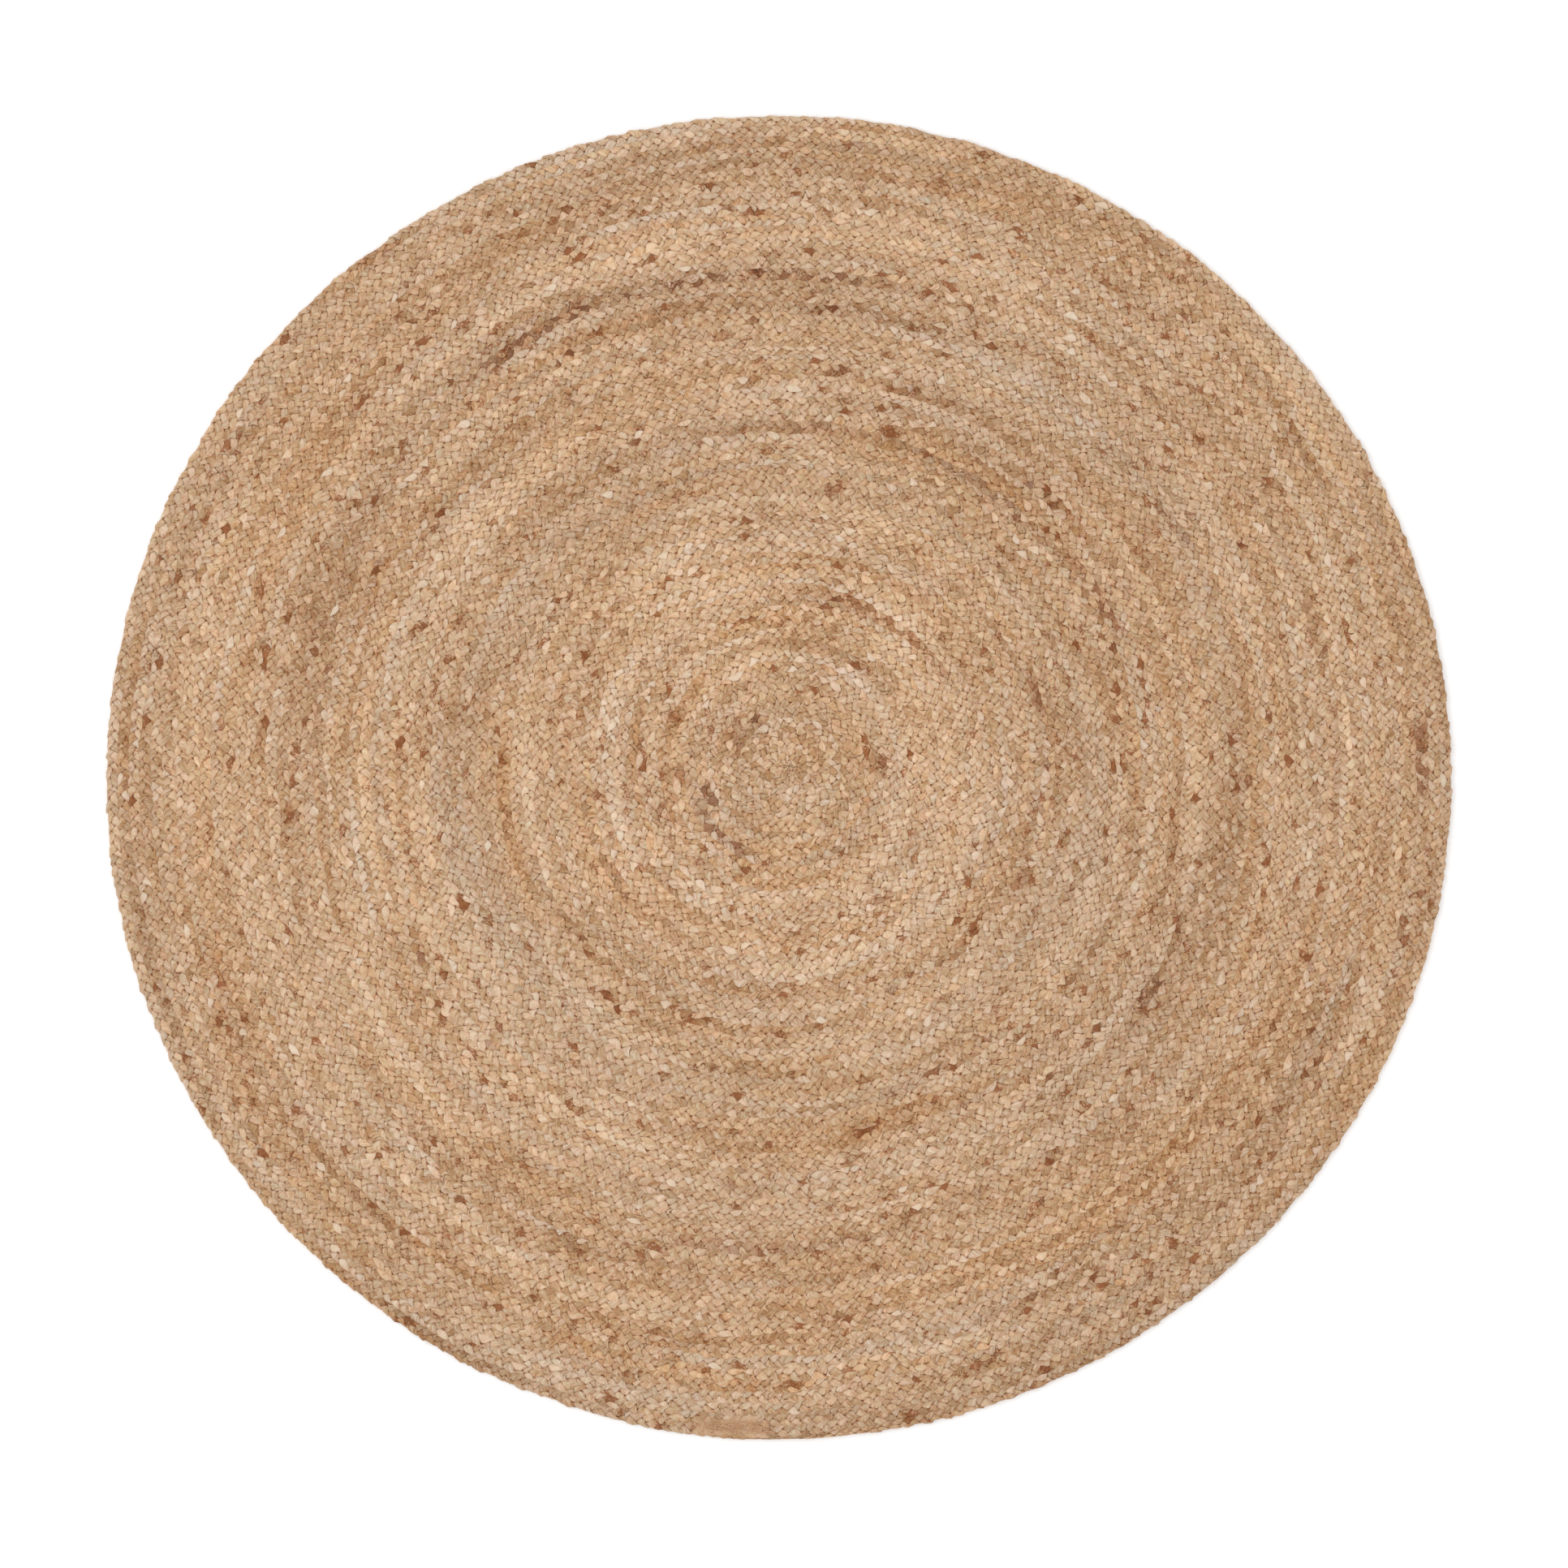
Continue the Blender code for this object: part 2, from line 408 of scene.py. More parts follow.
def place_at(turn):
    """The place along the braid at a turn, in braid widths from its first tip."""
    coiled = turn + CORE_TURNS
    return math.pi * coiled**2 + CORE_LOBES * coiled


def along_at(share, degrees, sweep=0):
    """Metres along the braid at a share of the way to the rim, in a direction, plus a sweep clockwise."""
    behind = (degrees - math.degrees(END_DIRECTION)) / 360
    turn = TURNS - behind - round(TURNS - behind - share * (TURNS + 0.5)) + sweep / 360
    return place_at(turn) * BRAID_WIDTH


# ---- the braid


def finished_mesh(bm, name):
    mesh = bpy.data.meshes.new(name)
    bm.to_mesh(mesh)
    bm.free()
    return mesh


def lobe_mesh():
    """The mesh of one lobe, flat, with its measures kept on its points."""
    bm = bmesh.new()
    rows = []
    measures = []
    for row, places in zip(LOBE_ROWS, ROW_POINTS):
        line = []
        for across in places:
            line.append(bm.verts.new((across, row["strip"], 0.0)))
            measures.append({"across": across, **row})
        rows.append(line)
    for near, far in zip(rows, rows[1:]):
        if len(near) == len(far):
            for n in range(len(near) - 1):
                bm.faces.new((near[n], near[n + 1], far[n + 1], far[n]))
        else:
            for n in range(len(far) - 1):
                first, middle, last = near[2 * n : 2 * n + 3]
                bm.faces.new((first, middle, far[n]))
                bm.faces.new((middle, last, far[n + 1]))
                bm.faces.new((middle, far[n + 1], far[n]))
    mesh = finished_mesh(bm, "braid_lobe")
    for name in ("across", *LOBE_MEASURES):
        layer = mesh.attributes.new(name, "FLOAT", "POINT")
        layer.data.foreach_set("value", [measure[name] for measure in measures])
    return mesh


def named(tree, name):
    node = tree.nodes.new("GeometryNodeInputNamedAttribute")
    node.data_type = "FLOAT"
    node.inputs["Name"].default_value = name
    return Number(tree, node.outputs["Attribute"])


def keep(tree, shape, name, value, kind="FLOAT", domain="POINT"):
    """Keeps a value on a shape under a name."""
    node = tree.nodes.new("GeometryNodeStoreNamedAttribute")
    node.data_type = kind
    node.domain = domain
    tree.links.new(shape, node.inputs["Geometry"])
    node.inputs["Name"].default_value = name
    feed(tree, node.inputs["Value"], value)
    return node.outputs["Geometry"]


def chance(label, seed):
    """An even chance from 0 to 1 for each label."""
    node = label.tree.nodes.new("FunctionNodeRandomValue")
    node.data_type = "FLOAT"
    feed(label.tree, node.inputs["ID"], label)
    node.inputs["Seed"].default_value = seed
    return Number(label.tree, node.outputs[1])


def shape_tree(name, counts, measures):
    """A node tree that makes a shape from a mesh, with its inputs. Counts are whole numbers."""
    tree = bpy.data.node_groups.new(name, "GeometryNodeTree")
    add_sockets(tree, "OUTPUT", "Geometry", "Geometry")
    add_sockets(tree, "INPUT", "Geometry", "Geometry")
    add_sockets(tree, "INPUT", "Material", "Material")
    add_sockets(tree, "INPUT", "Int", *counts)
    add_sockets(tree, "INPUT", "Float", *measures)
    given = tree.nodes.new("NodeGroupInput").outputs
    return tree, given, {item.name: Number(tree, item) for item in given if item.name}


def then(tree, kind, shape, domain=None, **values):
    """The next step on a shape, with its inputs fed by name."""
    node = tree.nodes.new("GeometryNode" + kind)
    if domain:
        node.domain = domain
    tree.links.new(shape, node.inputs[0])
    feed_named(tree, node, values)
    return node.outputs[0]


def points_for(tree, count):
    """A row of points, and the number of each."""
    points = tree.nodes.new("GeometryNodePoints")
    feed(tree, points.inputs["Count"], count)
    return points.outputs[0], Number(tree, tree.nodes.new("GeometryNodeInputIndex").outputs[0])


def scatter(tree, points, mesh):
    """One shape with a copy of the mesh for each point, which keeps what the points know."""
    return then(tree, "RealizeInstances", then(tree, "InstanceOnPoints", points, instance=mesh))


def end_tree(tree, shape, material):
    """Ends a node tree with the shape in its material."""
    result = tree.nodes.new("NodeGroupOutput")
    tree.links.new(then(tree, "SetMaterial", shape, material=material), result.inputs["Geometry"])


class Lobe:
    """What the points of a lobe know about it."""

    def __init__(self, tree):
        self.side = named(tree, "side")
        self.number = named(tree, "number")
        self.across = named(tree, "across")
        self.inner = (1.0 - self.side) / 2
        self.start = self.number + self.inner * 0.5
        self.crease = self.start + self.across
        self.label = self.number * 2 + self.inner
        self.bulge = 1.0 - (self.across**1.3 * 2 - 1).size() ** 3.2


def unevenness(lobe, size, name):
    wave = BRAID_WAVES[name]
    return noise(lobe.crease + wave["at"], wave["waves"]) * size["Unevenness"] * wave["swing"]


def lobe_along(tree, lobe, size):
    """A point's place along the braid, in lobes. Every crease is a little off its even place."""
    lean = (unevenness(lobe, size, "lean") + 1.0) * size["Lean"]
    return lobe.crease + unevenness(lobe, size, "crease") - lean * named(tree, "back")


def lobe_distance(tree, lobe, size, turn):
    """A point's distance from the coil's centre. The middle line zigzags between the two rows' heads."""
    zigzag = (lobe.crease.fract() * math.tau).cos() * size["Zigzag"]
    zigzag = zigzag * (unevenness(lobe, size, "zigzag") + 1.0)
    zigzag = zigzag + unevenness(lobe, size, "middle")
    loose = (chance(lobe.label, 53) - 0.5) * LOOSENESS
    rim = ((lobe.start - size["Rim Lobe"]) / RIM_FADE).rise(0.0, 1.0) * (1.0 - lobe.inner)
    bulge = lobe.bulge * (loose * (1.0 + rim) + LOBE_BULGE)
    edge = lobe.side * (bulge + CREASE_REACH - rim * RIM_INSET)
    off_middle = zigzag + (edge - zigzag) * named(tree, "out")

    outer_edge = edge_distance(turn)
    inner_edge = edge_distance(turn - 1)
    middle = (outer_edge + inner_edge) / 2
    width = (outer_edge - inner_edge).at_least(NARROWEST)
    return (middle + off_middle * width).at_least(0.03)


def matted_share(tree, coil, turn, distance):
    """1 where the end is matted and flattened, with the rows beside it, and 0 elsewhere."""
    probe = group_node(tree, coil, turn=turn, distance=distance)
    before_end = Number(tree, probe.outputs["Before End"])
    rows = Number(tree, probe.outputs["Rows From Rim"])
    matted = before_end.rise(*MATTED_TURNS) * before_end.rise(*MATTED_TIP)
    slant = before_end * MATTED_SLANT
    return matted * rows.rise(*(slant + row for row in MATTED_ROWS))


def lobe_height(tree, lobe, size, along, matted):
    """A point's height. Plump lobes stand higher than slack ones."""
    plump = chance(lobe.label, 11) * 0.60 + 0.65
    slack = noise(along * 0.11 + 90, 1.0, 2.0) * 0.03
    crown = named(tree, "crown") * lobe.bulge * plump
    pit = named(tree, "pit") * ((lobe.across * (2 * math.tau)).cos() * 0.5 + 0.5) ** 2
    back = (crown - pit) * (1.0 - matted * MATTED_FLATNESS)
    return ((named(tree, "base") * (1.0 + slack) + back) * size["Thickness"]).at_least(0.0)


def keep_weave(tree, shape, lobe, size, along, matted):
    """Keeps what the finish reads: where in the lobe, how far along the braid, which strand and lobe."""
    strand = (lobe.number + lobe.inner * 2) % 3
    which = vector(strand + lobe.inner * 3, chance(lobe.label, 23), chance(lobe.label, 37))
    weave = vector(lobe.across, named(tree, "grain"), along * size["Lobe Pitch"] * BRAID_WIDTH)
    shape = keep(tree, shape, "weave", weave, "FLOAT_VECTOR", "CORNER")
    shape = keep(tree, shape, "lobe", which, "FLOAT_VECTOR", "FACE")
    shape = keep(tree, shape, "matted", matted, "FLOAT", "CORNER")

    # The braid unwrapped: a row of lobes to a strip, and the strips above one another with a margin.
    strip = named(tree, "strip") * 0.5 * lobe.side + 0.5
    strip_number = ((lobe.number - size["First Lobe"]) / STRIP_LOBES).floor()
    strip_start = strip_number * STRIP_LOBES + size["First Lobe"]
    u = (along - strip_start + 2.2) / (STRIP_LOBES + 3.6)
    v = (strip_number + strip * 0.94 + 0.03) / size["Strips"]
    return keep(tree, shape, "OFBake", vector(u, v), "FLOAT2", "CORNER")


def braid_group(coil):
    """The node group that braids one length of the coil from the lobe mesh."""
    measures = ("Lobe Pitch", "Thickness", "Lean", "Zigzag", "Unevenness", "Rim Lobe")
    tree, given, size = shape_tree("braid", ("First Lobe", "Lobes", "Strips"), measures)

    # One point for each lobe: the outer row's lobes are even, the inner row's are odd.
    shape, index = points_for(tree, size["Lobes"] * 2)
    shape = keep(tree, shape, "side", 1.0 - (index % 2) * 2)
    shape = keep(tree, shape, "number", (index / 2).floor() + size["First Lobe"])
    shape = scatter(tree, shape, given["Geometry"])

    lobe = Lobe(tree)
    along = lobe_along(tree, lobe, size)
    turn = turn_at(along * size["Lobe Pitch"]).at_most(TURNS)
    distance = lobe_distance(tree, lobe, size, turn)
    matted = matted_share(tree, coil, turn, distance)
    height = lobe_height(tree, lobe, size, along, matted)
    put = group_node(tree, coil, turn=turn, distance=distance, height=height)

    shape = keep_weave(tree, shape, lobe, size, along, matted)
    shape = then(tree, "SetPosition", shape, position=put.outputs["Position"])
    shape = then(tree, "FlipFaces", shape, selection=lobe.side.under(0.0))
    shape = then(tree, "MergeByDistance", shape, distance=WELD_DISTANCE)
    shape = then(tree, "SetShadeSmooth", shape)
    angle = Number(tree, tree.nodes.new("GeometryNodeInputMeshEdgeAngle").outputs["Unsigned Angle"])
    creased = angle.over(CREASE_ANGLE)
    shape = then(tree, "SetShadeSmooth", shape, "EDGE", selection=creased, shade_smooth=False)
    end_tree(tree, shape, given["Material"])
    return tree


def grow(name, mesh, group, values, drop=()):
    """A plain piece from a mesh and a node group. The group's inputs are set by name."""
    piece = bpy.data.objects.new(name, mesh)
    bpy.context.scene.collection.objects.link(piece)
    modifier = piece.modifiers.new(group.name, "NODES")
    modifier.node_group = group
    for item in group.interface.items_tree:
        if item.item_type == "SOCKET" and item.in_out == "INPUT" and item.name in values:
            modifier[item.identifier] = values[item.name]
    depsgraph = bpy.context.evaluated_depsgraph_get()
    finished = bpy.data.meshes.new_from_object(
        piece.evaluated_get(depsgraph), preserve_all_data_layers=True, depsgraph=depsgraph
    )
    piece.modifiers.clear()
    piece.data = finished
    finished.name = name
    for layer in drop:
        if layer in finished.attributes:
            finished.attributes.remove(finished.attributes[layer])
    return piece


def strand_mesh():
    """The mesh of a thin three-sided strand that comes to a point at both ends."""
    bm = bmesh.new()
    unrolled = bm.loops.layers.float.new("unrolled")
    tips = [bm.verts.new((0.0, 0.0, 0.0)), bm.verts.new((0.0, 0.0, 1.0))]
    measures = [(0.0, 0.0, 0.0), (1.0, 0.0, 0.0)]
    rings = []
    for step in STRAND_STEPS:
        ring = []
        for side in range(3):
            turned = math.tau * side / 3
            ring.append(bm.verts.new((math.cos(turned), math.sin(turned), step)))
            measures.append((step, turned, 1.0))
        rings.append(ring)

    def face(side, corners):
        for loop, (_, turned) in zip(bm.faces.new([corner for corner, _ in corners]).loops, corners):
            loop[unrolled] = (side + turned) / 3

    for side in range(3):
        after = (side + 1) % 3
        face(side, ((tips[0], 0.5), (rings[0][after], 1), (rings[0][side], 0)))
        face(side, ((tips[1], 0.5), (rings[-1][side], 0), (rings[-1][after], 1)))
        for near, far in zip(rings, rings[1:]):
            face(side, ((near[side], 0), (near[after], 1), (far[after], 1), (far[side], 0)))
    mesh = finished_mesh(bm, "strand")
    for name, values in zip(("step", "around", "thick"), zip(*measures)):
        layer = mesh.attributes.new(name, "FLOAT", "POINT")
        layer.data.foreach_set("value", values)
    return mesh


def strand_group(coil):
    """The node group that lays many thin strands on the rug: loose fibres, or stitches."""
    tree, given, size = shape_tree("strands", ("Count", "Seed"), STRAND_INPUTS)
    shape, index = points_for(tree, size["Count"])
    shape = keep(tree, shape, "number", index + size["Seed"] * SEED_STEP)
    shape = keep(tree, shape, "evenly", (index + 0.5) / size["Count"])
    shape = scatter(tree, shape, given["Geometry"])
    number = named(tree, "number")
    step = named(tree, "step")
    around = named(tree, "around")

    # Where each strand starts. Strands spread evenly over the rug's face, or follow one another.
    spread = chance(number, 3)
    spread = spread + (named(tree, "evenly") - spread) * size["Evenly"]
    first, last = size["First Turn"], size["Last Turn"]
    turn = (first * first + (last * last - first * first) * spread).sqrt()
    inset = size["Inset"] + (chance(number, 5) - 0.5) * size["Inset Spread"]
    distance = edge_distance(turn) - inset
    length = size["Shortest"] + (size["Longest"] - size["Shortest"]) * chance(number, 7) ** 2
    heading = size["Heading"] + (chance(number, 9) - 0.5) * 2 * size["Heading Spread"]
    curl = (chance(number, 11) - 0.5) * 2 * size["Curl"]

    # Along, across and above: a bent line with a thin body round it.
    ahead = step * length
    aside = step * step * length * curl
    body = named(tree, "thick") * size["Thickness"] * 0.5
    aside = aside + around.cos() * body
    along = ahead * heading.cos() - aside * heading.sin()
    outwards = ahead * heading.sin() + aside * heading.cos()
    wave = step * (1.0 - step) * 4 * size["Rise"] * (chance(number, 13) + 0.3)
    height = size["Height"] + wave - step * step * size["Fall"] + around.sin() * body
    turn = turn + along / (distance.at_least(1.0) * (math.tau * BRAID_WIDTH))
    distance = distance + outwards / BRAID_WIDTH
    height = height.at_least(0.0002)
    put = group_node(tree, coil, turn=turn, distance=distance, height=height)

    column = (number - size["Seed"] * SEED_STEP) % STRAND_COLUMNS
    row = ((number - size["Seed"] * SEED_STEP) / STRAND_COLUMNS).floor()
    rows = (size["Count"] / STRAND_COLUMNS).ceil()
    u = (column + named(tree, "unrolled") * 0.9 + 0.05) / STRAND_COLUMNS
    v = (row + step * 0.9 + 0.05) / rows
    shape = keep(tree, shape, "strand_tone", chance(number, 15), "FLOAT", "FACE")
    shape = keep(tree, shape, "OFBake", vector(u, v), "FLOAT2", "CORNER")
    shape = then(tree, "SetPosition", shape, position=put.outputs["Position"])
    end_tree(tree, then(tree, "SetShadeSmooth", shape), given["Material"])
    return tree


def close_ends(mesh):
    """Closes the two cut ends of a length of braid."""
    bm = bmesh.new()
    bm.from_mesh(mesh)
    ends = [edge for edge in bm.edges if edge.is_boundary]
    caps = bmesh.ops.holes_fill(bm, edges=ends, sides=0)["faces"]
    bmesh.ops.triangulate(bm, faces=caps)
    bm.to_mesh(mesh)
    bm.free()


# ---- finishes


def new_material(name):
    """A material, its node tree and its shader."""
    material = bpy.data.materials.new(name)
    material.use_nodes = True
    return material, material.node_tree, material.node_tree.nodes["Principled BSDF"]


def set_inputs(node, values):
    for name, value in values.items():
        node.inputs[name].default_value = value


def clamped(value, most=1.0):
    return value.at_least(0.0).at_most(most)


def attribute(tree, name):
    node = tree.nodes.new("ShaderNodeAttribute")
    node.attribute_name = name
    return node


def mix(tree, share, one, other, blend="MIX"):
    """One colour turning into another."""
    node = tree.nodes.new("ShaderNodeMix")
    node.data_type = "RGBA"
    node.blend_type = blend
    feed(tree, node.inputs["Factor"], share)
    feed(tree, node.inputs[6], one if isinstance(one, bpy.types.NodeSocket) else (*one, 1.0))
    feed(tree, node.inputs[7], other if isinstance(other, bpy.types.NodeSocket) else (*other, 1.0))
    return node.outputs[2]


def ramp_of(tree, share, stops):
    """A run of colours, each at its place from 0 to 1."""
    node = tree.nodes.new("ShaderNodeValToRGB")
    feed(tree, node.inputs[0], share)
    elements = node.color_ramp.elements
    while len(elements) < len(stops):
        elements.new(0.5)
    for element, (place, tint) in zip(elements, stops):
        element.position = place
        element.color = (*tint, 1.0)
    return node.outputs[0]


def stained(tree, share, tint, tones, name):
    """A colour with a stain on it. Only the cream one hides the fibre's own shades."""
    return mix(tree, share, tint, tones[name], "MIX" if name == "cream" else "MULTIPLY")


def fibre_group():
    """A node group for fine fibres that run along a strand."""
    tree = bpy.data.node_groups.new("jute_fibres", "ShaderNodeTree")
    add_sockets(tree, "INPUT", "Float", "Across", "Along", "Seed")
    add_sockets(tree, "OUTPUT", "Float", "Shade", "Height")
    given = tree.nodes.new("NodeGroupInput").outputs
    across, along, seed = (Number(tree, given[name]) for name in ("Across", "Along", "Seed"))
    # Across and Along are in metres, and a fibre is far longer than it is wide.
    locks = vector(across * 520 + seed * 30, along * 110, seed * 20)
    bundles = vector(across * 1500 + seed * 90, along * 160, seed * 70)
    threads = vector(across * 3800 + seed * 50, along * 240, seed * 40)
    broad = surface_noise(tree, locks, 1.0)[0]
    coarse = surface_noise(tree, bundles, 1.0)[0]
    fine = surface_noise(tree, threads, 1.0, 1.0)[0]
    result = tree.nodes.new("NodeGroupOutput")
    feed(tree, result.inputs["Shade"], broad * 0.34 + coarse * 0.55 + fine * 0.55)
    feed(tree, result.inputs["Height"], broad * 0.2 + coarse * 0.4 + fine * 0.4)
    return tree


class Weave:
    """Where in the braid the finish is read, and how light or dark the fibre is there."""

    def __init__(self, tree, fibres):
        self.across, self.grain, self.along = parts(tree, attribute(tree, "weave").outputs["Vector"])
        which, self.luck, self.second_luck = parts(tree, attribute(tree, "lobe").outputs["Vector"])
        inner = (which / 3 + 0.1).floor()
        self.strand = which - inner * 3
        self.matted = Number(tree, attribute(tree, "matted").outputs["Fac"])
        # Noise read on the line follows a strand, and on the row it follows a row of lobes.
        self.line = self.strand * 311.7 + self.along
        self.row = inner * 517.3 + self.along
        self.batch = noise(self.line, 1.7, 5.0, 0.66)

        # Neighbouring turns come from the same bale, so broad bands follow the coil.
        self.place = tree.nodes.new("ShaderNodeTexCoord").outputs["Object"]
        right, up, _ = parts(tree, self.place)
        self.reach = (right * right + up * up).sqrt() + 0.01
        coiled = vector(right / self.reach * 1.1, up / self.reach * 1.1, self.reach * 15)
        self.bale, self.bale_shifts = surface_noise(tree, coiled, 1.0, 1.0)

        # Fibres along the strand, which bend as it dives under.
        bend = (self.grain - 0.5) ** 2 * (self.luck - 0.5) * 0.8
        across = (self.across + bend) * LOBE_WIDTH
        seed = self.luck * 10 + self.strand
        blade = group_node(tree, fibres, across=across, along=self.grain * LOBE_LENGTH, seed=seed)
        self.streak = Number(tree, blade.outputs["Shade"])
        self.fibre_height = blade.outputs["Height"]


def fibre_tint(tree, at, tones):
    """The fibre's own colour: long batches, shorter ones within them, and each lobe on its own. Broad bands
    make it lighter or darker, and the last band is painted shade on the rim's outermost row.
    """
    both = noise(at.along + 77, 1.1, 5.0, 0.66)
    single = noise(at.row + 60, 2.2, 4.0, 0.66)
    own = at.luck + at.second_luck - 1.0
    level = at.batch * 0.34 + both * 0.23 + single * 0.31 + at.bale * 0.17
    level = level + own * 0.15 + at.streak * 0.60 + 0.5
    hue = noise(at.line + 520, 2.3, 4.0, 0.6) * 0.5 + noise(at.row + 310, 1.7, 4.0, 0.6) * 0.65
    hue = hue + (at.luck - 0.5) * 0.45
    hue = clamped(hue * 0.95 + at.bale_shifts[1] * 0.40 + 0.5)
    golden = ramp_of(tree, level, tones["golden_run"])
    tint = mix(tree, hue, ramp_of(tree, level, tones["silver_run"]), golden)

    patch = vector(at.across * 3.2, at.grain * 2.6, at.luck * 60 + at.strand * 20)
    blush = surface_noise(tree, patch, 1.0, 1.0)[0] * 1.3 + (at.second_luck - 0.5) * 0.5 + 0.5
    tint = mix(tree, 1.0, tint, mix(tree, clamped(blush), tones["olive"], tones["blush"]), "MULTIPLY")
    tone_and_rim_shade = at.bale_shifts[0] * 0.07 + noise(at.along + 500, 1.1, 3.0, 0.6) * 0.05 + 1.0
    # The last band is painted shade on the rim's outermost row.
    for band in BANDS:
        away = (at.reach / (LENGTH_X / 2) - band["share"]).size()
        tone_and_rim_shade = tone_and_rim_shade + away.rise(band["width"], 0.0) * band["lighter"]
    return mix(tree, 1.0, tint, vector(tone_and_rim_shade, tone_and_rim_shade, tone_and_rim_shade), "MULTIPLY")


def stretches(tree, at, tint, tones):
    """Short dark stretches of a strand, from bark left on the fibre, pale bleached ones and streaks."""
    scraps = surface_noise(tree, at.place, 70.0, 2.0, 0.6)[0]
    specks = surface_noise(tree, at.place, 420.0, 2.0, 0.6)[0]
    rough = noise(at.line + 900, 4.5, 3.0, 0.6) * 0.80
    rough = rough + noise(at.row + 900, 24.0, 1.0, 0.6) * 0.70
    barked = rough + scraps * 0.40 + (at.luck - 0.5) * 0.22 + specks * 0.40 + at.streak * 0.45
    barked = barked - at.batch * 0.15 - at.bale * 0.15 - at.reach.rise(0.13, 0.03) * 0.25
    tint = stained(tree, barked.rise(0.33, 0.60) * 0.95, tint, tones, "bark")
    cream = noise(at.line + 1700, 8.5, 1.0) * 0.75 + (at.second_luck - 0.5) * 0.42
    tint = stained(tree, cream.rise(0.42, 0.62) * 0.55, tint, tones, "cream")

    patchy = noise(at.line + 2300, 9.0, 2.0) * 1.2 + (at.luck - 0.5) * 0.5
    patchy = (patchy + specks * 0.6 + scraps * 0.4).rise(-0.15, 0.35)
    for run in STREAKS:
        first = along_at(run["share"], run["start"])
        last = along_at(run["share"], run["start"], run["sweep"])
        fade = (last - first) * 0.2
        inside = at.along.rise(first, first + fade) * at.along.rise(last, last - fade)
        tint = stained(tree, inside * patchy * run["depth"], tint, tones, run["tone"])
    return tint


def creased(tree, at, tint, tones):
    """Painted shade in the creases and on the lobes' flanks, most of all in the pits where creases meet. A
    lobe's tail side is tucked under, so it gets more painted shade. The matted end gets its own colour.
    """
    # Masks for painted shade: the creases and the tucked tail side, the head, the seam between turns, the
    # flanks, and the pits where creases meet.
    from_side = (0.5 - (at.across - 0.5).size()) * 2
    crease = from_side.rise(0.16, 0.0).at_least(at.across.rise(0.17, 0.02))
    head = at.grain.rise(0.07, 0.0) * 0.7
    seam_shade = at.grain.rise(0.90, 1.0) * 0.6
    painted_flank_shade = from_side.rise(0.50, 0.0).at_least(at.grain.rise(0.16, 0.0) * 0.7)
    painted_flank_shade = painted_flank_shade.at_least(at.grain.rise(0.8, 1.0) * 0.6)
    meeting = (at.across * (2 * math.tau)).cos() * 0.5 + 0.5
    pit = at.grain.rise(0.17, 0.03) * meeting.rise(0.3, 0.95)
    pit = pit.at_least(at.grain.rise(0.80, 0.97) * from_side.rise(0.45, 0.08))
    # How deep the painted shade is varies along the braid, and the seam is painted darkest in short
    # stretches where it gaps.
    depth = noise(at.along * 60 + 40, 1.0, 1.0) * 1.6 + 0.70
    painted_gap_shade = noise(at.row * 30 + 9, 1.0, 1.0).rise(0.22, 0.5)
    shade = crease.at_least(head).at_least(seam_shade) * depth * (1.0 - at.matted * MATTED_FLATNESS)
    dark = (pit * depth).at_least(at.grain.rise(0.88, 1.0) * painted_gap_shade) * 0.85 * (1.0 - at.matted)
    # Painted shade: the flanks a little, the creases more, the pits most, and less where the matted end lies
    # flat.
    tint = mix(tree, painted_flank_shade * 0.14, tint, tones["crease"])
    tint = mix(tree, clamped(shade * 0.37), tint, tones["crease"])
    tint = mix(tree, clamped(dark, 0.9), tint, tones["pit"])
    return mix(tree, at.matted * 0.4, tint, tones["matted"])


def jute_material(fibres, tones):
    """Natural jute: three strands, each from batches of slightly different fibre."""
    material, tree, shader = new_material("jute")
    at = Weave(tree, fibres)
    tint = stretches(tree, at, fibre_tint(tree, at, tones), tones)
    tree.links.new(creased(tree, at, tint, tones), shader.inputs["Base Color"])
    bump = tree.nodes.new("ShaderNodeBump")
    set_inputs(bump, {"Strength": 0.6, "Distance": 0.0004})
    tree.links.new(at.fibre_height, bump.inputs["Height"])
    tree.links.new(bump.outputs[0], shader.inputs["Normal"])
    feed(tree, shader.inputs["Roughness"], at.streak * 0.06 + 0.84)
    set_inputs(shader, {"Specular IOR Level": 0.25, "Sheen Weight": 0.06, "Sheen Roughness": 0.5})
    set_inputs(shader, {"Metallic": 0.0})
    return material


def strand_material(tones):
    """Single fibres and thread, each of its own shade of jute."""
    material, tree, shader = new_material("jute_strand")
    tone = Number(tree, attribute(tree, "strand_tone").outputs["Fac"])
    tint = ramp_of(tree, tone * 0.40 + 0.60, tones["golden_run"])
    tint = stained(tree, 0.45, tint, tones, "golden")
    tint = stained(tree, 1.0, tint, tones, "blush")
    tree.links.new(tint, shader.inputs["Base Color"])
    set_inputs(shader, {"Roughness": 0.7, "Specular IOR Level": 0.3})
    return material


def floor_material(tint):
    material, _, shader = new_material("floor")
    set_inputs(shader, {"Base Color": (*tint, 1.0), "Roughness": 0.9})
    return material


# ---- what a user may change


def length_property(name, about, default, **limits):
    return bpy.props.FloatProperty(
        name=name, description=about, default=default, unit="LENGTH", precision=4, **limits
    )


def tint_property(name, about, default):
    return bpy.props.FloatVectorProperty(
        name=name, description=about, default=default, subtype="COLOR", size=3, min=0.0, max=1.0
    )


def factor_property(name, about, default):
    return bpy.props.FloatProperty(
        name=name, description=about, default=default, subtype="FACTOR", min=0.0, max=4.0
    )


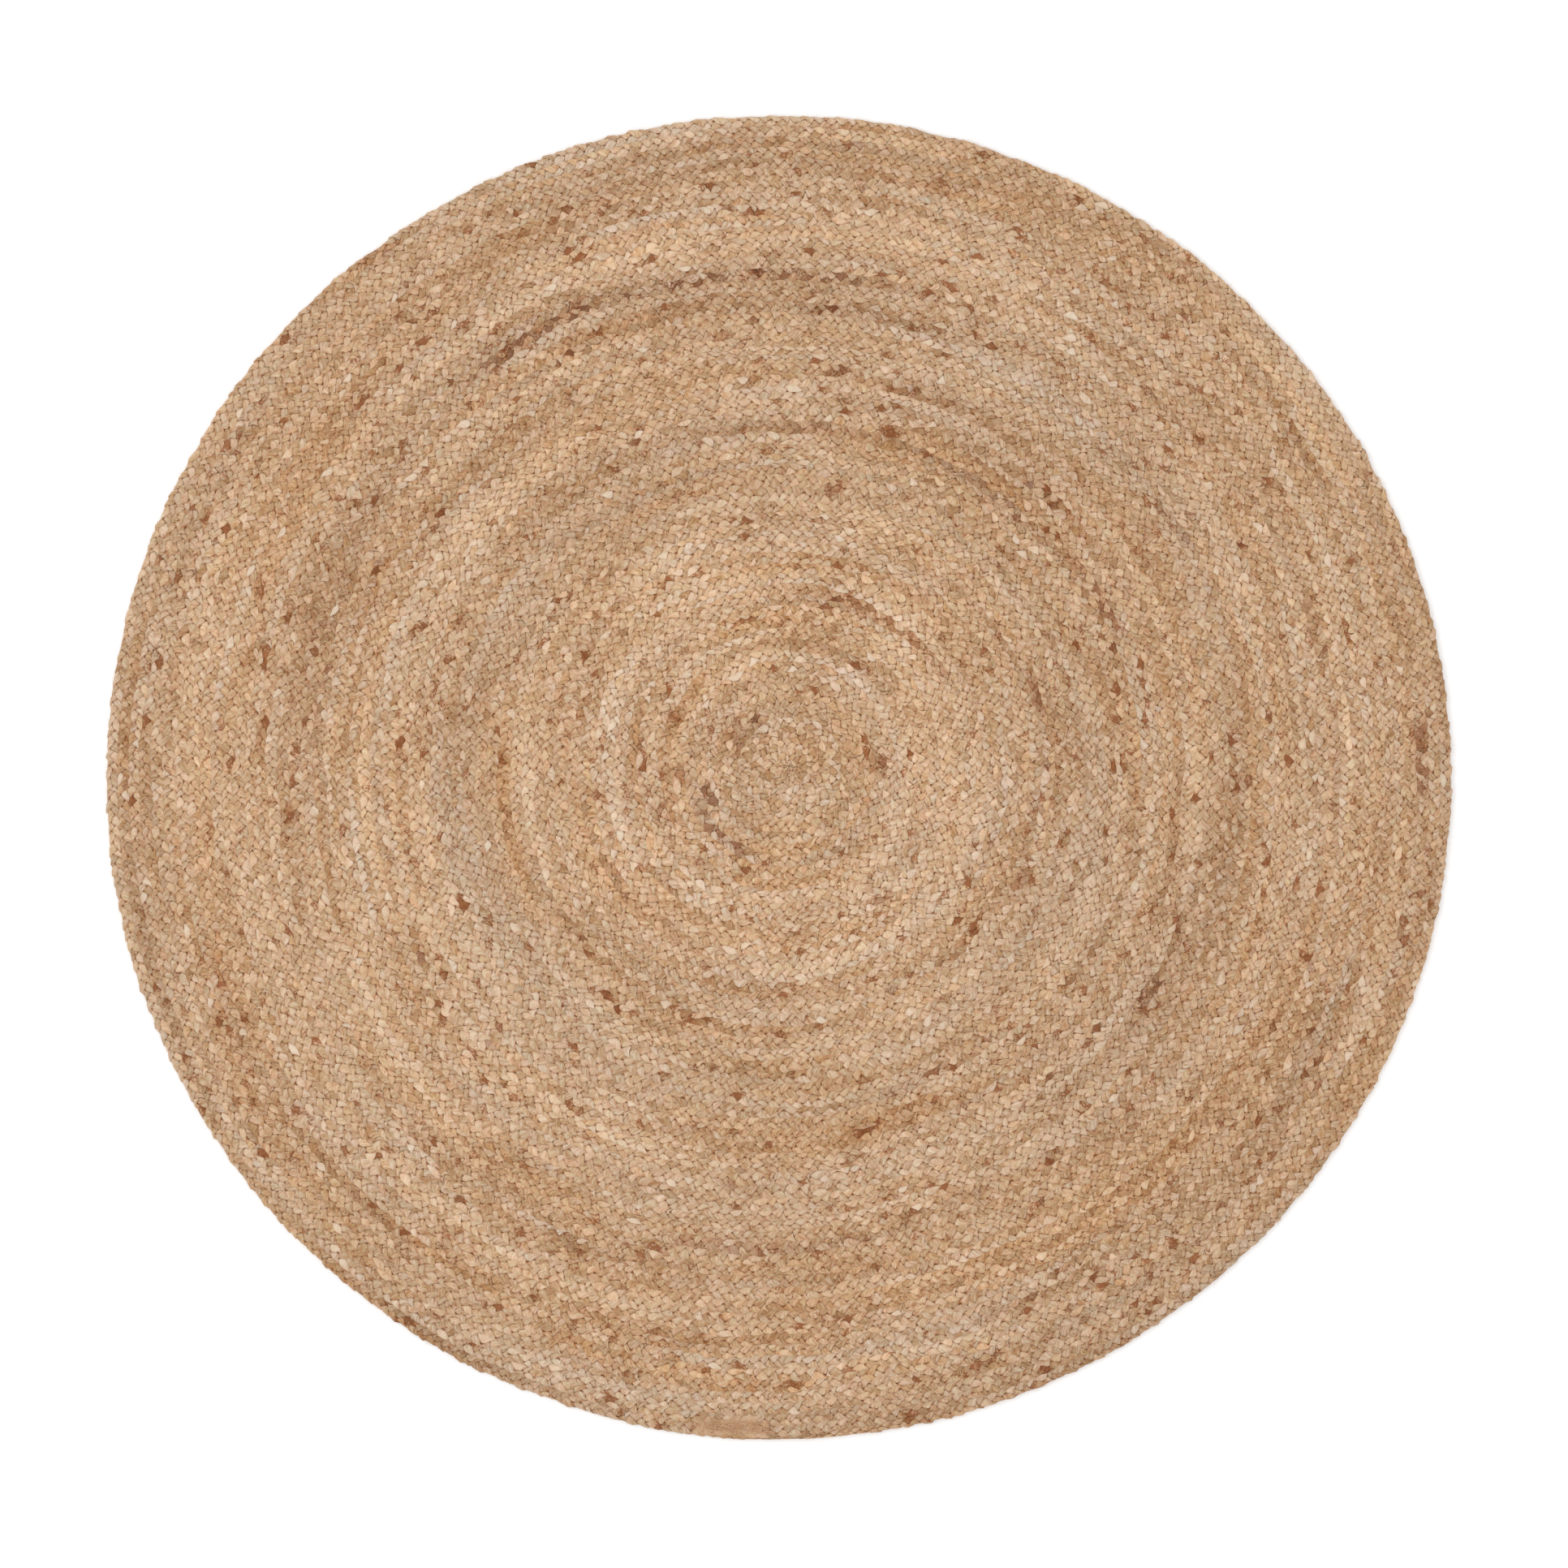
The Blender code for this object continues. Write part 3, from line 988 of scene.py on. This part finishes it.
class RugBraidSettings(bpy.types.PropertyGroup):
    thickness: length_property("Thickness", "Height of the braid as it lies", CREST_HEIGHT, min=0.002)
    pitch: length_property("Lobe pitch", "Braid from one lobe to the next in its row", 0.0122, min=0.004)
    lean: factor_property("Lean", "How far a lobe leans back from head to tail, in pitches", 0.58)
    zigzag: factor_property("Zigzag", "How far the middle line swings, in braid widths", 0.200)
    unevenness: factor_property("Unevenness", "How far the braid departs from an even one", 1.0)


class RugColourSettings(bpy.types.PropertyGroup):
    dark: tint_property("Dark fibre", "The darkest of the usual fibre", colour(140, 95, 58))
    tan: tint_property("Tan fibre", "The darker of the usual fibre", colour(169, 130, 93))
    sand: tint_property("Sand fibre", "The middle of the usual fibre", colour(188, 156, 125))
    pale: tint_property("Pale fibre", "The paler of the usual fibre", colour(201, 175, 148))
    ivory: tint_property("Ivory fibre", "The palest of the usual fibre", colour(212, 192, 170))
    golden: tint_property("Golden", "Long golden stretches", colour(188, 145, 103))
    umber: tint_property("Umber", "Long dark brown stretches", colour(112, 66, 38))
    bark: tint_property("Bark", "Dark stretches with bark left on the fibre", colour(126, 72, 36))
    cream: tint_property("Cream", "Pale bleached stretches", colour(216, 201, 180))
    # Crease and Pit are colours of painted shade: in the creases between lobes and in the pits where creases
    # meet.
    crease: tint_property("Crease", "The creases between lobes", colour(160, 96, 46))
    pit: tint_property("Pit", "The small pits where creases meet", colour(112, 66, 32))


class RugStageSettings(bpy.types.PropertyGroup):
    camera_height: length_property("Camera height", "Height of the camera above the rug's top", 4.158)
    camera_x: length_property("Camera right", "How far right of the rug's middle the camera is", 0.0060)
    camera_y: length_property("Camera up", "How far up from the rug's middle the camera is", -0.0075)
    floor_tint: tint_property("Floor", "Colour of the floor", (0.93, 0.93, 0.93))
    sky: factor_property("Even light", "Strength of the even light", 1.132)
    key: bpy.props.FloatProperty(
        name="Key light", description="Strength of the soft key light", default=29.0, unit="POWER"
    )


# ---- pieces


class RUG_OT_braid(bpy.types.Operator):
    """Braid the jute and lay it in its coil"""

    bl_idname = "rug.braid"
    bl_label = "Braid"

    def execute(self, context):
        braid = context.scene.rug_braid
        pitch = braid.pitch / BRAID_WIDTH
        lobes = math.floor(place_at(TURNS) / pitch) - 2
        cuts = [round(lobes * n / BRAID_LENGTHS) for n in range(BRAID_LENGTHS + 1)]
        group = braid_group(coil_group())
        finish = jute_material(fibre_group(), jute_tones(context.scene.rug_colours))
        lobe = lobe_mesh()
        for number, (first, last) in enumerate(zip(cuts, cuts[1:]), 1):
            values = {
                "First Lobe": first,
                "Lobes": last - first,
                "Lobe Pitch": pitch,
                "Thickness": braid.thickness,
                "Lean": braid.lean,
                "Zigzag": braid.zigzag,
                "Unevenness": braid.unevenness,
                "Rim Lobe": place_at(TURNS - 1) / pitch,
                "Strips": math.ceil((last - first) / STRIP_LOBES),
                "Material": finish,
            }
            drop = ("across", "side", "number", *LOBE_MEASURES)
            length = grow(f"braid_length_{number:02d}", lobe, group, values, drop)
            close_ends(length.data)
            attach(length, "root")
            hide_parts("rug")
        bpy.data.meshes.remove(lobe)
        return {"FINISHED"}


class RUG_OT_strands(bpy.types.Operator):
    """Lay the stray fibres, the sewing thread and the matted end of the braid"""

    bl_idname = "rug.strands"
    bl_label = "Loose fibres and thread"

    def execute(self, context):
        finish = strand_material(jute_tones(context.scene.rug_colours))
        group = strand_group(coil_group())
        for seed, (name, lot) in enumerate(STRAND_LOTS.items(), 1):
            values = {key: float(lot.get(key, 0.0)) for key in STRAND_INPUTS}
            values.update({"Count": lot["Count"], "Seed": seed, "Material": finish})
            drop = ("step", "around", "thick", "number", "evenly", "unrolled")
            piece = grow(name, strand_mesh(), group, values, drop)
            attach(piece, "root")
            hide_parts("rug")
        return {"FINISHED"}


def jute_tones(colours):
    """The colours of the fibre, and how they run from dark to pale."""

    def turned(tint, red, blue):
        return (tint[0] * red, tint[1], tint[2] * blue)

    def stain(tint):
        return tuple(part / plain for part, plain in zip(tint, colours.sand))

    usual = (colours.dark, colours.tan, colours.sand, colours.pale, colours.ivory)
    run = list(zip((0.0, 0.3, 0.5, 0.72, 1.0), usual))
    return {
        "golden_run": [(place, turned(tint, 1.072, 0.885)) for place, tint in run],
        "silver_run": [(place, turned(tint, 0.933, 1.12)) for place, tint in run],
        "olive": (0.952, 1.012, 0.97),
        "blush": (1.050, 0.982, 0.98),
        "golden": stain(colours.golden),
        "umber": stain(colours.umber),
        "bark": stain(colours.bark),
        "cream": tuple(colours.cream),
        "matted": turned(colours.sand, 1.06, 0.90),
        # crease and pit are the colours of painted shade.
        "crease": tuple(colours.crease),
        "pit": tuple(colours.pit),
    }


class RUG_OT_stage(bpy.types.Operator):
    """Lay the pale floor, and set the soft lights and the camera above the rug"""

    bl_idname = "rug.stage"
    bl_label = "Floor, lights and camera"

    def execute(self, context):
        settings = context.scene.rug_stage
        collection = context.scene.collection

        bm = bmesh.new()
        bmesh.ops.create_circle(bm, cap_ends=True, segments=96, radius=FLOOR_RADIUS)
        mesh = finished_mesh(bm, "floor")
        mesh.materials.append(floor_material(settings.floor_tint))
        mesh.transform(Matrix.Translation((0.0, 0.0, -FLOOR_DROP)))
        floor = bpy.data.objects.new("floor", mesh)
        collection.objects.link(floor)

        world = bpy.data.worlds.new("even_light")
        world.use_nodes = True
        white = (1.0, 1.0, 1.0, 1.0)
        set_inputs(world.node_tree.nodes["Background"], {"Color": white, "Strength": settings.sky})
        context.scene.world = world

        lamp = bpy.data.lights.new("key_light", "AREA")
        lamp.shape = "DISK"
        lamp.size = KEY_LIGHT["width"]
        lamp.energy = settings.key
        key = bpy.data.objects.new("key_light", lamp)
        collection.objects.link(key)
        around = math.radians(KEY_LIGHT["around"])
        up = math.radians(KEY_LIGHT["up"])
        direction = (math.cos(up) * math.cos(around), math.cos(up) * math.sin(around), math.sin(up))
        key.location = Vector(direction) * KEY_LIGHT["away"]
        key.rotation_euler = (-Vector(key.location)).to_track_quat("-Z", "Y").to_euler()

        lens = bpy.data.cameras.new("camera")
        lens.lens = LENS
        lens.sensor_width = 36.0
        lens.clip_end = 100.0
        camera = bpy.data.objects.new("camera", lens)
        camera.location = (settings.camera_x, settings.camera_y, settings.camera_height + CREST_HEIGHT)
        collection.objects.link(camera)
        context.scene.camera = camera
        context.scene.view_settings.view_transform = "Standard"
        return {"FINISHED"}


class RUG_PT_maker(bpy.types.Panel):
    """The rug's steps, in the order in which they are made"""

    bl_idname = "RUG_PT_maker"
    bl_label = "Jute Rug"
    bl_space_type = "VIEW_3D"
    bl_region_type = "UI"
    bl_category = "Jute Rug"

    def draw(self, context):
        for step in STEPS:
            self.layout.operator(step.bl_idname)


STEPS = (RUG_OT_stage, RUG_OT_braid, RUG_OT_strands)
SETTINGS = {
    "rug_braid": RugBraidSettings,
    "rug_colours": RugColourSettings,
    "rug_stage": RugStageSettings,
}


def register():
    for kind in (*SETTINGS.values(), *STEPS, RUG_PT_maker):
        bpy.utils.register_class(kind)
    for name, kind in SETTINGS.items():
        setattr(bpy.types.Scene, name, bpy.props.PointerProperty(type=kind))


def unregister():
    for name in SETTINGS:
        delattr(bpy.types.Scene, name)
    for kind in (RUG_PT_maker, *STEPS[::-1], *list(SETTINGS.values())[::-1]):
        bpy.utils.unregister_class(kind)


def main():
    """Makes the whole rug."""
    register()
    bpy.ops.rug.stage()
    bpy.ops.rug.braid()
    bpy.ops.rug.strands()


if __name__ == "__main__":
    main()
